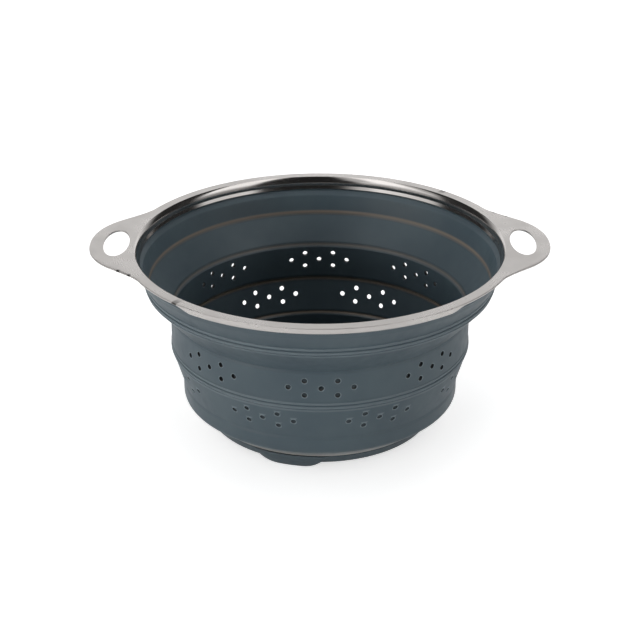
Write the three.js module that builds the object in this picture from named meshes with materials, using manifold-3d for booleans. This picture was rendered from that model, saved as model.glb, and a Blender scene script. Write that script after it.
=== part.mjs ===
// Collapsible colander: a steel rim with two loop handles, a silicone wall of stiff bands and folding webs,
// and a perforated base on three feet.
// Millimetres, +Z up, the origin on the table under the middle of the base.
import * as THREE from "three";
import { mergeVertices } from "three/addons/utils/BufferGeometryUtils.js";
import Module from "manifold-3d";

const wasm = await Module();
wasm.setup();

// How finely round shapes are cut
const AROUND = 64;
const HOLE_SIDES = 8;
const HANDLE_STEPS = 5;
const FINGER_HOLE_SIDES = 20;
const FOOT_STEPS = 4;

// Gaps and cuts
const SEAT_GAP = 0.3; // between two pieces that seat on each other
const OVERRUN = 3; // how far a cutter runs past what it cuts

// Heights, stacked from the table up
const FOOT_DROP = 3.4; // the feet stand this far below the base plate
const PLATE_HEIGHT = 5.6;
const BASE_SLOPE_HEIGHT = 10.3;
const BASE_BAND_HEIGHT = 10.1;
const LOWER_WEB_DROP = 23.3;
const MIDDLE_BAND_HEIGHT = 25.5;
const UPPER_WEB_DROP = 18.1;
const TOP_BAND_DEPTH = 23.4; // from the upper fold to the top of the rim

// Silicone wall
const TOP_BAND_RADIUS = 110.2; // outside, at its fold
const MIDDLE_RADIUS = 95.2;
const BASE_RADIUS = 88.7;
const BAND_WALL = 2.4;
const WEB_WALL = 1.4;
const HINGE_WALL = 0.9; // the thin line that a web folds on
const HINGE_LENGTH = 1.8;
const FOLD_INSET = 0.4; // a band's end steps in this far at its fold
const WEB_SHOULDER = 1.2;
const RIB_HEIGHT = 1.5;
const RIB_PROUD = 0.6;
const RIB_GROOVE = 0.5;
const BASE_CORNER = 2.6; // rounding under the base band
const BASE_SLOPE_RUN = 13.1; // the wall draws in this far from the base band to the base plate

// Steel rim
const OPENING_RADIUS = 115;
const FLANGE_WIDTH = 7.6;
const STEEL_PLATE = 1.2;
const EDGE_BEVEL = 0.3;
const COLLAR_DEPTH = 8.4;
const COLLAR_TAPER = 1.4;
const COLLAR_WALL = 0.9;
const COLLAR_ROLL = 1.6; // radius of the bend from flange to collar
const HEM_DEPTH = 3.8; // the edge that is rolled under, from the rim's top
const HEM_WALL = 0.9;
const HEM_HALF_CHORD = 84; // the hem runs this far each way from the middle of the front and of the back
const HEM_TAPER = 11; // and rises into the flange over this much at each end
const BEAD_LIP = 0.7; // the silicone bead shows this far below the hem
const BEAD_STEP = 1.9; // and then steps in

// Handles, in plan
const HANDLE_SPAN = 115; // where the two necks leave the flange
const FINGER_HOLE_WIDTH = 15.9;
const FINGER_HOLE_LENGTH = 40.3;
const INNER_LAND = 4.7; // steel between the opening and the finger hole
const OUTER_LAND = 8.7; // steel outside the finger hole
const SHOULDER_REACH_SHARE = 0.36; // of the handle's reach past the flange
const SHOULDER_SPAN_SHARE = 0.62; // of half the span
const NECK_PULL_SHARE = 0.16; // of half the span, as are the next three
const SHOULDER_PULL_SHARE = 0.1;
const FLANK_PULL_SHARE = 0.15;
const TIP_PULL_SHARE = 0.33;
const SHOULDER_SLOPE = THREE.MathUtils.degToRad(-45);

// Drain holes
const HOLE_DIAMETER = 3.2;
const CLUSTERS = 8;
const CLUSTER_TIP = 19.35; // from a cluster's middle hole to its end holes
const CLUSTER_PAIR = 9.75; // to the two pairs between them
const CLUSTER_RISE = 4.75; // half the height of a pair
const UPPER_HOLES_DROP = 11.2; // below the top of the middle band
const LOWER_HOLES_DROP = 10.6; // below the top of the lower web
const FLOOR_CLUSTERS = 6;
const FLOOR_CLUSTER_RADIUS = 43;

// Base
const PLATE_DRAFT = 2.4; // the plate's edge narrows this much towards the table
const PLATE_FLOOR = 2.4;
const PLATE_WALL = 2.2;

// Feet
const FEET = 3;
const FOOT_LENGTH = 50;
const FOOT_FLAT = 17;
const FOOT_DEPTH = 12;
const FOOT_PROUD = 2;
const FOOT_DRAFT = 5; // the outer face narrows this much towards the table
const FOOT_PULL_SHARE = 0.62; // of the run from the flat to the end of the foot
const FIRST_FOOT_ANGLE = THREE.MathUtils.degToRad(-105);

// Heights that follow from the stack
const plateBottom = FOOT_DROP;
const plateTop = plateBottom + PLATE_HEIGHT;
const baseBandBottom = plateTop + SEAT_GAP;
const baseCorner = baseBandBottom + BASE_SLOPE_HEIGHT;
const lowerWebBottom = baseCorner + BASE_BAND_HEIGHT;
const lowerFold = lowerWebBottom + LOWER_WEB_DROP;
const upperWebBottom = lowerFold + MIDDLE_BAND_HEIGHT;
const upperFold = upperWebBottom + UPPER_WEB_DROP;
const rimTop = upperFold + TOP_BAND_DEPTH;
const footTop = plateTop + ((FOOT_PROUD - SEAT_GAP) * BASE_SLOPE_HEIGHT) / BASE_SLOPE_RUN;

// Radii that several pieces share
const plateRadius = BASE_RADIUS - BASE_SLOPE_RUN;
const flangeRadius = OPENING_RADIUS + FLANGE_WIDTH;
const flangeUnderside = rimTop - STEEL_PLATE;
const collarFoot = rimTop - COLLAR_DEPTH;
const collarFootRadius = OPENING_RADIUS - COLLAR_TAPER;
const collarOutside = OPENING_RADIUS + COLLAR_WALL;
const hemBottom = rimTop - HEM_DEPTH;
const landRadius = OPENING_RADIUS + INNER_LAND; // the hem's inner edge, and the finger holes' inner edge

const steel = new THREE.MeshStandardMaterial({ color: 0xc9c6c2, roughness: 0.22, metalness: 1 });
const silicone = new THREE.MeshStandardMaterial({ color: 0x59646a, roughness: 0.55, metalness: 0 });
const plastic = new THREE.MeshStandardMaterial({ color: 0x4e585d, roughness: 0.4, metalness: 0 });

// A closed geometry as a solid that can be joined and cut
function solidOf(geometry) {
  const bare = geometry.clone();
  bare.deleteAttribute("normal");
  bare.deleteAttribute("uv");
  const merged = mergeVertices(bare, 1e-4);
  return new wasm.Manifold(
    new wasm.Mesh({
      numProp: 3,
      vertProperties: new Float32Array(merged.attributes.position.array),
      triVerts: new Uint32Array(merged.index.array),
    }),
  );
}

// A solid as a named mesh
function piece(name, solid, material) {
  const { vertProperties, triVerts } = solid.getMesh();
  const geometry = new THREE.BufferGeometry();
  geometry.setAttribute("position", new THREE.BufferAttribute(vertProperties, 3));
  geometry.setIndex(new THREE.BufferAttribute(triVerts, 1));
  geometry.computeVertexNormals();
  const mesh = new THREE.Mesh(geometry, material);
  mesh.name = name;
  return mesh;
}

// A closed section of [radius, height] points, turned about the Z axis.
// The points run up the inside and down the outside.
function turned(section) {
  const points = [...section, section[0]].map(([radius, height]) => new THREE.Vector2(radius, height));
  return solidOf(new THREE.LatheGeometry(points.reverse(), AROUND).rotateX(Math.PI / 2));
}

// Points of a circle at the same angles as a turned piece
function circle(radius) {
  const points = [];
  for (let i = 0; i < AROUND; i++) {
    const angle = (2 * Math.PI * i) / AROUND;
    points.push(new THREE.Vector2(radius * Math.cos(angle), radius * Math.sin(angle)));
  }
  return points;
}

// Where a band's outside surface ends at its fold
const foldRadius = (bandRadius) => bandRadius - FOLD_INSET;

// The two ribs round the lower end of a band, from the top down, ending at the fold
function ribs(radius, fold) {
  const upperRib = fold + 2 * RIB_HEIGHT + RIB_GROOVE;
  const lowerRib = fold + RIB_HEIGHT;
  return [
    [radius, upperRib + RIB_PROUD],
    [radius + RIB_PROUD, upperRib],
    [radius + RIB_PROUD, upperRib - RIB_HEIGHT],
    [radius, upperRib - RIB_HEIGHT - RIB_GROOVE / 2],
    [radius + RIB_PROUD, lowerRib],
    [radius + RIB_PROUD, lowerRib - RIB_HEIGHT / 2],
    [foldRadius(radius), fold],
  ];
}

// A folding web between two bands: thin at both ends, where it hinges, and thicker between
function webSection(upperRadius, upperEnd, lowerRadius, lowerEnd) {
  const top = upperEnd - SEAT_GAP;
  const bottom = lowerEnd + SEAT_GAP;
  const outerTop = foldRadius(upperRadius);
  const outerBottom = foldRadius(lowerRadius);
  const shoulder = top - WEB_SHOULDER;
  const run = outerTop - outerBottom;
  const drop = shoulder - bottom;
  const across = WEB_WALL * Math.hypot(1, run / drop); // the wall measured along the radius
  const outsideAt = (height) => outerBottom + (run * (height - bottom)) / drop;
  const upperHinge = shoulder - HINGE_LENGTH;
  const lowerHinge = bottom + HINGE_LENGTH;
  return [
    [outerBottom - HINGE_WALL, bottom],
    [outsideAt(lowerHinge) - across, lowerHinge],
    [outsideAt(upperHinge) - across, upperHinge],
    [outerTop - HINGE_WALL, top],
    [outerTop, top],
    [outerTop, shoulder],
    [outerBottom, bottom],
  ];
}

// The seven holes of a cluster, as [along, up] from its middle
const CLUSTER = [
  [-CLUSTER_TIP, 0],
  [-CLUSTER_PAIR, CLUSTER_RISE],
  [-CLUSTER_PAIR, -CLUSTER_RISE],
  [0, 0],
  [CLUSTER_PAIR, CLUSTER_RISE],
  [CLUSTER_PAIR, -CLUSTER_RISE],
  [CLUSTER_TIP, 0],
];

// One round cutter, its axis along Z
function holeCutter(length) {
  const radius = HOLE_DIAMETER / 2;
  return solidOf(new THREE.CylinderGeometry(radius, radius, length, HOLE_SIDES).rotateX(Math.PI / 2));
}

// Cutters for a ring of clusters through a wall that leans out by slope, in radians
function wallHoles(radius, height, firstAngle, slope, wall) {
  const straight = holeCutter(wall + 2 * OVERRUN);
  const cutters = [];
  for (let cluster = 0; cluster < CLUSTERS; cluster++) {
    for (const [along, up] of CLUSTER) {
      const angle = firstAngle + (2 * Math.PI * cluster) / CLUSTERS + along / radius;
      const reach = radius + up * Math.tan(slope);
      const placed = new THREE.Matrix4()
        .makeRotationZ(angle)
        .multiply(new THREE.Matrix4().makeTranslation(reach, 0, height + up))
        .multiply(new THREE.Matrix4().makeRotationY(Math.PI / 2 + slope));
      cutters.push(straight.transform(placed.elements));
    }
  }
  return wasm.Manifold.union(cutters);
}

function handleCurves() {
  const halfSpan = HANDLE_SPAN / 2;
  const neckAngle = Math.asin(halfSpan / flangeRadius);
  const tipRadius = landRadius + FINGER_HOLE_WIDTH + OUTER_LAND;
  const neck = new THREE.Vector2(Math.cos(neckAngle), Math.sin(neckAngle)).multiplyScalar(flangeRadius);
  const shoulder = new THREE.Vector2(
    flangeRadius + SHOULDER_REACH_SHARE * (tipRadius - flangeRadius),
    SHOULDER_SPAN_SHARE * halfSpan,
  );
  const tip = new THREE.Vector2(tipRadius, 0);
  const alongNeck = new THREE.Vector2(Math.sin(neckAngle), -Math.cos(neckAngle));
  const alongShoulder = new THREE.Vector2(Math.cos(SHOULDER_SLOPE), Math.sin(SHOULDER_SLOPE));
  const alongTip = new THREE.Vector2(0, 1);
  const pulled = (from, along, share) => from.clone().addScaledVector(along, share * halfSpan);
  return [
    new THREE.CubicBezierCurve(
      neck,
      pulled(neck, alongNeck, NECK_PULL_SHARE),
      pulled(shoulder, alongShoulder, -SHOULDER_PULL_SHARE),
      shoulder,
    ),
    new THREE.CubicBezierCurve(
      shoulder,
      pulled(shoulder, alongShoulder, FLANK_PULL_SHARE),
      pulled(tip, alongTip, TIP_PULL_SHARE),
      tip,
    ),
  ];
}

// The flange's outline with its two handles, anticlockwise from the right handle's lower neck
function rimOutline() {
  const upperHalf = handleCurves().flatMap((curve) => curve.getPoints(HANDLE_STEPS).slice(0, -1));
  const lowerHalf = upperHalf.map((point) => new THREE.Vector2(point.x, -point.y));
  const tip = handleCurves()[1].v3;
  const handle = [...lowerHalf, tip, ...upperHalf.toReversed()];
  const neckAngle = Math.asin(HANDLE_SPAN / 2 / flangeRadius);
  const rimPoints = circle(flangeRadius).filter((point) => {
    const angle = Math.atan2(point.y, point.x);
    return angle > neckAngle && angle < Math.PI - neckAngle;
  });
  const half = [...handle, ...rimPoints];
  const otherHalf = half.map((point) => new THREE.Vector2(-point.x, -point.y));
  return [...half, ...otherHalf];
}

function fingerHole(side) {
  const middle = side * (landRadius + FINGER_HOLE_WIDTH / 2);
  const ellipse = new THREE.EllipseCurve(middle, 0, FINGER_HOLE_WIDTH / 2, FINGER_HOLE_LENGTH / 2);
  return new THREE.Path(ellipse.getPoints(FINGER_HOLE_SIDES).slice(0, -1));
}

// The flange's edge, rolled under to the front and back; it rises into the flange short of the handles
function hem() {
  const ring = turned([
    [landRadius, hemBottom],
    [landRadius, hemBottom + HEM_WALL],
    [flangeRadius - HEM_WALL, hemBottom + HEM_WALL],
    [flangeRadius - HEM_WALL, flangeUnderside + EDGE_BEVEL],
    [flangeRadius, flangeUnderside + EDGE_BEVEL],
    [flangeRadius, hemBottom + EDGE_BEVEL],
    [flangeRadius - EDGE_BEVEL, hemBottom],
  ]);
  const beyond = flangeRadius + OVERRUN;
  const beside = new THREE.Shape([
    new THREE.Vector2(HEM_HALF_CHORD - HEM_TAPER, hemBottom - OVERRUN),
    new THREE.Vector2(beyond, hemBottom - OVERRUN),
    new THREE.Vector2(beyond, flangeUnderside + OVERRUN),
    new THREE.Vector2(HEM_HALF_CHORD, flangeUnderside + OVERRUN),
    new THREE.Vector2(HEM_HALF_CHORD, flangeUnderside),
    new THREE.Vector2(HEM_HALF_CHORD - HEM_TAPER, hemBottom),
  ]);
  const cutter = solidOf(
    new THREE.ExtrudeGeometry(beside, { depth: 2 * beyond, bevelEnabled: false })
      .translate(0, 0, -beyond)
      .rotateX(Math.PI / 2),
  );
  return ring.subtract(cutter).subtract(cutter.rotate([0, 0, 180]));
}

// The pressed steel top: flat flange and handles, the collar that lines the opening, and the hem
function rimPlate() {
  const shape = new THREE.Shape(rimOutline());
  const rollEdge = OPENING_RADIUS + COLLAR_ROLL;
  shape.holes.push(new THREE.Path(circle(rollEdge)), fingerHole(1), fingerHole(-1));
  const flange = new THREE.ExtrudeGeometry(shape, {
    depth: STEEL_PLATE - 2 * EDGE_BEVEL,
    bevelSize: EDGE_BEVEL,
    bevelOffset: -EDGE_BEVEL,
    bevelThickness: EDGE_BEVEL,
    bevelSegments: 1,
  }).translate(0, 0, flangeUnderside + EDGE_BEVEL);
  const joinEdge = rollEdge + 2 * EDGE_BEVEL; // past the bevel round the flange's own hole
  const lip = COLLAR_WALL / 2;
  const bend = COLLAR_ROLL * (1 - Math.SQRT1_2);
  const collar = turned([
    [collarFootRadius + lip, collarFoot],
    [collarFootRadius, collarFoot + lip],
    [OPENING_RADIUS, rimTop - COLLAR_ROLL],
    [OPENING_RADIUS + bend, rimTop - bend],
    [rollEdge, rimTop],
    [joinEdge, rimTop],
    [joinEdge, flangeUnderside],
    [collarOutside, flangeUnderside],
    [collarFootRadius + COLLAR_WALL, collarFoot + lip],
  ]);
  return piece("rim_plate", solidOf(flange).add(collar).add(hem()), steel);
}

// The flared band under the rim, with the bead that fills the space between collar and hem
function topBand() {
  const beadTop = flangeUnderside - SEAT_GAP;
  const beadRadius = landRadius - SEAT_GAP;
  const beadBottom = hemBottom - BEAD_LIP;
  const underCollar = collarFoot - SEAT_GAP;
  const ledge = underCollar - COLLAR_WALL;
  const outside = ribs(TOP_BAND_RADIUS, upperFold);
  const ribTop = outside[0][1];
  const section = [
    [foldRadius(TOP_BAND_RADIUS) - HINGE_WALL, upperFold],
    [TOP_BAND_RADIUS - BAND_WALL, upperFold + HINGE_LENGTH],
    [TOP_BAND_RADIUS - BAND_WALL, ribTop],
    [collarFootRadius, ledge],
    [collarFootRadius, underCollar],
    [collarFootRadius + COLLAR_WALL + SEAT_GAP, underCollar],
    [collarOutside + SEAT_GAP, beadTop],
    [beadRadius, beadTop],
    [beadRadius, beadBottom],
    [beadRadius - BEAD_STEP, beadBottom - BEAD_STEP],
    [collarFootRadius + BAND_WALL, ledge],
    ...outside,
  ];
  return piece("top_band", turned(section), silicone);
}

function upperWeb() {
  const section = webSection(TOP_BAND_RADIUS, upperFold, MIDDLE_RADIUS, upperWebBottom);
  return piece("upper_web", turned(section), silicone);
}

function middleBand() {
  const inside = MIDDLE_RADIUS - BAND_WALL;
  const section = [
    [foldRadius(MIDDLE_RADIUS) - HINGE_WALL, lowerFold],
    [inside, lowerFold + HINGE_LENGTH],
    [inside, upperWebBottom - HINGE_LENGTH],
    [foldRadius(MIDDLE_RADIUS) - HINGE_WALL, upperWebBottom],
    [foldRadius(MIDDLE_RADIUS), upperWebBottom],
    [MIDDLE_RADIUS, upperWebBottom - HINGE_LENGTH],
    ...ribs(MIDDLE_RADIUS, lowerFold),
  ];
  const height = upperWebBottom - UPPER_HOLES_DROP;
  const holes = wallHoles(MIDDLE_RADIUS - BAND_WALL / 2, height, Math.PI / 2, 0, BAND_WALL);
  return piece("middle_band", turned(section).subtract(holes), silicone);
}

function lowerWeb() {
  const section = webSection(MIDDLE_RADIUS, lowerFold, BASE_RADIUS, lowerWebBottom);
  const slope = Math.atan((MIDDLE_RADIUS - BASE_RADIUS) / LOWER_WEB_DROP);
  const radius = MIDDLE_RADIUS - LOWER_HOLES_DROP * Math.tan(slope) - WEB_WALL / 2;
  const halfPitch = Math.PI / CLUSTERS;
  const holes = wallHoles(radius, lowerFold - LOWER_HOLES_DROP, Math.PI / 2 + halfPitch, slope, WEB_WALL);
  return piece("lower_web", turned(section).subtract(holes), silicone);
}

// The stiff lower band, which rounds under and slopes in to the base plate
function baseBand() {
  const inside = BASE_RADIUS - BAND_WALL;
  const bend = BASE_CORNER * (1 - Math.SQRT1_2);
  const section = [
    [plateRadius - PLATE_WALL, baseBandBottom],
    [inside, baseCorner],
    [inside, lowerWebBottom - HINGE_LENGTH],
    [foldRadius(BASE_RADIUS) - HINGE_WALL, lowerWebBottom],
    [foldRadius(BASE_RADIUS), lowerWebBottom],
    [BASE_RADIUS, lowerWebBottom - HINGE_LENGTH],
    [BASE_RADIUS, baseCorner],
    [BASE_RADIUS - bend, baseCorner - BASE_CORNER + bend],
    [plateRadius, baseBandBottom],
  ];
  return piece("base_band", turned(section), silicone);
}

// The rigid floor: a shallow dish with drain holes
function basePlate() {
  const floorTop = plateBottom + PLATE_FLOOR;
  const bottomRadius = plateRadius - PLATE_DRAFT;
  const section = [
    [0, plateBottom],
    [0, floorTop],
    [bottomRadius - PLATE_WALL, floorTop],
    [plateRadius - PLATE_WALL, plateTop],
    [plateRadius, plateTop],
    [bottomRadius + EDGE_BEVEL, plateBottom + EDGE_BEVEL],
    [bottomRadius, plateBottom],
  ];
  const cutter = holeCutter(PLATE_FLOOR + 2 * OVERRUN);
  const cutters = [];
  for (let cluster = 0; cluster <= FLOOR_CLUSTERS; cluster++) {
    const middle = cluster < FLOOR_CLUSTERS ? FLOOR_CLUSTER_RADIUS : 0;
    const angle = (2 * Math.PI * cluster) / FLOOR_CLUSTERS;
    for (const [along, up] of CLUSTER) {
      const place = new THREE.Vector3(middle + up, along, plateBottom + PLATE_FLOOR / 2);
      place.applyAxisAngle(new THREE.Vector3(0, 0, 1), angle);
      cutters.push(cutter.translate(place.toArray()));
    }
  }
  return piece("base_plate", turned(section).subtract(wasm.Manifold.union(cutters)), plastic);
}

// What the feet are cut to: the base plate and the slope above it, grown by the seat gap, open upwards
function footClearance() {
  const bottomRadius = plateRadius - PLATE_DRAFT + SEAT_GAP;
  return turned([
    [0, plateBottom - SEAT_GAP],
    [0, plateTop + BASE_SLOPE_HEIGHT],
    [plateRadius + SEAT_GAP + BASE_SLOPE_RUN, plateTop + BASE_SLOPE_HEIGHT],
    [plateRadius + SEAT_GAP, plateTop],
    [bottomRadius, plateBottom - SEAT_GAP],
  ]);
}

// A foot is a lobe with a flat sole, hooked under and round the edge of the base plate
function foot(index) {
  const half = FOOT_LENGTH / 2;
  const flat = FOOT_FLAT / 2;
  const pull = flat + FOOT_PULL_SHARE * (half - flat);
  const end = new THREE.QuadraticBezierCurve(
    new THREE.Vector2(half, footTop),
    new THREE.Vector2(pull, 0),
    new THREE.Vector2(flat, 0),
  ).getPoints(FOOT_STEPS);
  const otherEnd = end.map((point) => new THREE.Vector2(-point.x, point.y));
  const outside = plateRadius + FOOT_PROUD;
  const inside = outside - FOOT_DEPTH;
  const lobe = new THREE.ExtrudeGeometry(new THREE.Shape([...otherEnd, ...end.toReversed()]), {
    depth: FOOT_DEPTH + OVERRUN,
    bevelEnabled: false,
  });
  // the outline's x runs round the base, its y up, and the extrusion outwards
  const outwards = new THREE.Matrix4().makeBasis(
    new THREE.Vector3(0, 1, 0),
    new THREE.Vector3(0, 0, 1),
    new THREE.Vector3(1, 0, 0),
  );
  lobe.applyMatrix4(outwards).translate(inside, 0, 0);
  const outerFace = turned([
    [0, -OVERRUN],
    [0, footTop + OVERRUN],
    [outside, footTop + OVERRUN],
    [outside, plateTop],
    [outside - FOOT_DRAFT, 0],
    [outside - FOOT_DRAFT, -OVERRUN],
  ]);
  const angle = FIRST_FOOT_ANGLE + (2 * Math.PI * index) / FEET;
  const turn = new THREE.Matrix4().makeRotationZ(angle);
  const solid = solidOf(lobe).intersect(outerFace).subtract(footClearance()).transform(turn.elements);
  return piece("foot_" + (index + 1), solid, plastic);
}

const colander = new THREE.Group();
colander.add(rimPlate(), topBand(), upperWeb(), middleBand(), lowerWeb(), baseBand(), basePlate());
for (let index = 0; index < FEET; index++) colander.add(foot(index));

export default colander;
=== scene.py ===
import math

import bmesh
import bpy
import numpy as np
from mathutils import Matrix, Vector
from mathutils.kdtree import KDTree


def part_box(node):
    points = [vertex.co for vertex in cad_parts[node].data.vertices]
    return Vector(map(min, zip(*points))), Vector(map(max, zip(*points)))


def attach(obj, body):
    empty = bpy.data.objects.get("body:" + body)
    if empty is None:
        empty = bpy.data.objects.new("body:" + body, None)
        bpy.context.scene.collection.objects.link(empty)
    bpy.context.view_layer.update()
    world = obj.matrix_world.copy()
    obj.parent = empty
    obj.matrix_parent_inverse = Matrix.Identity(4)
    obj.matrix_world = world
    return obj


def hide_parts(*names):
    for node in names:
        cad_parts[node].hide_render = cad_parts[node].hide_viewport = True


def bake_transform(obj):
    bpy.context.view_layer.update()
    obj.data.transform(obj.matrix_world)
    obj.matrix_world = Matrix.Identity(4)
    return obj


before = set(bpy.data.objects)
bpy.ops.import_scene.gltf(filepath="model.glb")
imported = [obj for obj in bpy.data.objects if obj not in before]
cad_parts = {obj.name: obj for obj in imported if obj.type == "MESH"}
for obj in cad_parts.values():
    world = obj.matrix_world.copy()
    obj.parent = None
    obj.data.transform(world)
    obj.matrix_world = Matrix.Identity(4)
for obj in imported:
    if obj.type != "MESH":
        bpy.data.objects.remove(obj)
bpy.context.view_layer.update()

# Collapsible colander: a steel rim with two loop handles, a silicone wall that folds at its thin lines,
# and a drilled base on three feet. Metres, +Z up, the origin on the table under the middle of the base.
MM = 0.001

# How finely the shapes are cut
COLUMNS = 360
BEND_STEPS = 6
LIP_STEPS = 3
WEB_ROWS = 26
HOLE_POINTS = 24
EDGE_STEP = 0.5 * MM
HANDLE_STEPS = 240
FINGER_HOLE_POINTS = 96
FOOT_COLUMNS = 72
MERGE = 0.002 * MM
LEAST_BEND = math.radians(1)
SHARP_ANGLE = math.radians(38)

# Heights and radii that the frame gives
RIM_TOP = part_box("rim_plate")[1].z
FLANGE_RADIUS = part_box("rim_plate")[1].y
HANDLE_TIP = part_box("rim_plate")[1].x
COLLAR_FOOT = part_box("rim_plate")[0].z
UPPER_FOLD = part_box("top_band")[0].z
UPPER_WEB_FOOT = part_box("middle_band")[1].z
LOWER_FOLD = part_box("middle_band")[0].z
LOWER_WEB_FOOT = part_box("base_band")[1].z
BASE_BAND_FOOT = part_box("base_band")[0].z
BASE_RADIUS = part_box("base_band")[1].y
PLATE_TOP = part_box("base_plate")[1].z
PLATE_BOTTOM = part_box("base_plate")[0].z
PLATE_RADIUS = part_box("base_plate")[1].y

# Steel rim
COLLAR_FOOT_RADIUS = 113.6 * MM
COLLAR_BEND = 6.4 * MM
COLLAR_FLARE = math.radians(50)  # how far the collar's top edge leans out
COLLAR_MOUTH = 0.1 * MM  # the collar's wall stands this far outside its foot
COLLAR_LIP = 0.8 * MM  # the collar's foot turns in this far
COLLAR_LIP_HEIGHT = 2.8 * MM
STEEL_SHEET = 0.9 * MM
STEEL_PLATE = 1.2 * MM
COLLAR_EDGE_RADIUS = COLLAR_FOOT_RADIUS + COLLAR_MOUTH + COLLAR_BEND * (1 - math.cos(COLLAR_FLARE))
EDGE_ROUND = 0.45 * MM
HEM_DEPTH = 3.8 * MM
HEM_ROUND = 1.3 * MM
HEM_WIDTH = 2.9 * MM
HEM_HALF_CHORD = 84 * MM  # the rolled hem reaches this far to each side
HEM_TAPER = 9 * MM  # and fades into the plain edge over this length
HANDLE_SPAN = 115 * MM
FINGER_HOLE_WIDTH = 15.9 * MM
FINGER_HOLE_LENGTH = 40.3 * MM
OUTER_LAND = 8.7 * MM
SHOULDER_REACH_SHARE = 0.36
SHOULDER_SPAN_SHARE = 0.62
NECK_PULL_SHARE = 0.16
SHOULDER_PULL_SHARE = 0.1
FLANK_PULL_SHARE = 0.15
TIP_PULL_SHARE = 0.33
SHOULDER_SLOPE = math.radians(-45)

# Dark marks of painted shade and a dent in the rim's edge, by their bearing from a handle's own axis
TAB_BEARINGS = (math.radians(19.1), math.radians(23.0))
TAB_MARK_WIDTH = 1.5 * MM
TAB_REACH = 1.6 * MM  # how far the marks reach in on the top face
TAB_STRIP_DARKENING = 0.35  # how far the strip between the two marks is darkened towards the shade colour
HEM_DENT_BEARING = math.radians(46.0)
HEM_DENT_WIDTH = 3.6 * MM
HEM_DENT_DEPTH = 0.9 * MM
HEM_DENT_HEIGHT = 1.5 * MM
DENT_EDGE = 0.5 * MM
# how dark the dent is painted, as painted shade
DENT_SHADE = 0.6

# Silicone wall
TOP_RADIUS = 110.2 * MM
MIDDLE_RADIUS = 95.2 * MM
BAND_WALL = 2.4 * MM
WEB_WALL = 1.3 * MM
HINGE_WALL = 0.7 * MM
HINGE_LENGTH = 1.8 * MM
HINGE_RELIEF = 2.6 * MM  # a band's inside draws back to its hinge over this length
FOLD_INSET = 0.4 * MM
CREST_PROUD = 0.55 * MM
CREST_HEIGHT = 1.3 * MM  # from the fold to the middle of the first crest
CREST_PITCH = 2.4 * MM
CREST_HALF = 0.5 * MM
SOFT_CREST_PROUD = 0.4 * MM
GROOVE_DEPTH = 0.35 * MM
SHOULDER_HEIGHT = 1.1 * MM
SHOULDER_PROUD = 0.4 * MM
BEAD_LIP = 0.7 * MM
BEAD_STEP = 1.9 * MM
SEAT_GAP = 0.3 * MM
BASE_CORNER = 3.6 * MM
BASE_SLOPE_HEIGHT = 10.3 * MM
BASE_SLOPE = BASE_SLOPE_HEIGHT / (BASE_RADIUS - PLATE_RADIUS)
WEB_END_SHARES = (1.5, 1, 0.5, 0)  # rows near the upper web's foot, as shares of a hinge's length

# Painted glow inside at the hinges, where light shining through the thin silicone is painted warm: height,
# band's radius, half width and strength of each
UPPER_LINE_RISE = 0.3 * MM
LOWER_LINE_DROP = 0.4 * MM
HINGE_GLOW_LINES = (
    (UPPER_FOLD + UPPER_LINE_RISE, TOP_RADIUS, 1.2 * MM, 0.8),
    (UPPER_WEB_FOOT, MIDDLE_RADIUS, 1.2 * MM, 0.5),
    (LOWER_FOLD - LOWER_LINE_DROP, MIDDLE_RADIUS, 1.1 * MM, 0.9),
    (LOWER_WEB_FOOT, BASE_RADIUS, 1.0 * MM, 1.0),
)

# Drain holes
HOLE_RADIUS = 1.6 * MM
HOLE_LIP = 0.3 * MM
BORE_REACH = HOLE_RADIUS + HOLE_LIP / 10  # the painted shade in a bore ends this far from a hole's axis
LIP_REACH = HOLE_RADIUS + 1.5 * HOLE_LIP  # and the painted highlight on the lip round it here
CLUSTERS = 8
CLUSTER_TIP = 19.35 * MM
CLUSTER_PAIR = 9.75 * MM
CLUSTER_RISE = 4.75 * MM
FIRST_ROW = 1.5 * MM
UPPER_HOLES_DROP = 11.2 * MM
LOWER_HOLES_DROP = 10.6 * MM
FLOOR_CLUSTERS = 6
FLOOR_CLUSTER_RADIUS = 43 * MM

# Grid lines of a hole cluster: where its holes lie, and how far the cell round a hole reaches
PAIR_COLUMN = 9
TIP_COLUMN = 18
PITCH_COLUMNS = 72
PAIR_ROW = 4
LAST_ROW = 7
ROWS = range(-LAST_ROW, LAST_ROW + 1)
CELL = 3
FIRST_CORNER = math.radians(225)  # bearing of a cell's first corner from its hole

# Base and feet
PLATE_DRAFT = 2.4 * MM
PLATE_FLOOR = 2.4 * MM
PLATE_WALL = 2.2 * MM
DRILLED_RADIUS = 54 * MM
RING_RADIUS = 59 * MM
RING_HALF = 1.6 * MM
RING_DEPTH = 0.7 * MM
FEET = 3
FOOT_LENGTH = 50 * MM
FOOT_FLAT = 17 * MM
FOOT_DEPTH = 12 * MM
FOOT_PROUD = 2 * MM
FOOT_DRAFT = 4.2 * MM  # its outer face narrows this much towards the table
FOOT_BOW = 1.6  # how its outer face bows, 1 for straight
FOOT_ROUND = 1.1 * MM
FOOT_PULL_SHARE = 0.62
FIRST_FOOT_ANGLE = math.radians(-105)

# Names of the marks that materials read from a piece's points: the rim's dark edge marks, painted glow at the
# hinges, painted highlights and reflections, and painted shade in the bores
DARK_EDGE_MARKS = "dark_edge_marks"
HINGE_GLOW = "hinge_glow"
PAINTED_HIGHLIGHT = "pale"
BORE_SHADE = "bore"
CREST_HIGHLIGHT = 0.5  # how far a crest turns to the painted highlight colour


def unit(vector):
    return vector / np.linalg.norm(vector)


def smooth(value):
    """0 below 0, 1 above 1, and a soft step between."""
    value = np.clip(value, 0, 1)
    return value * value * (3 - 2 * value)


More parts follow.
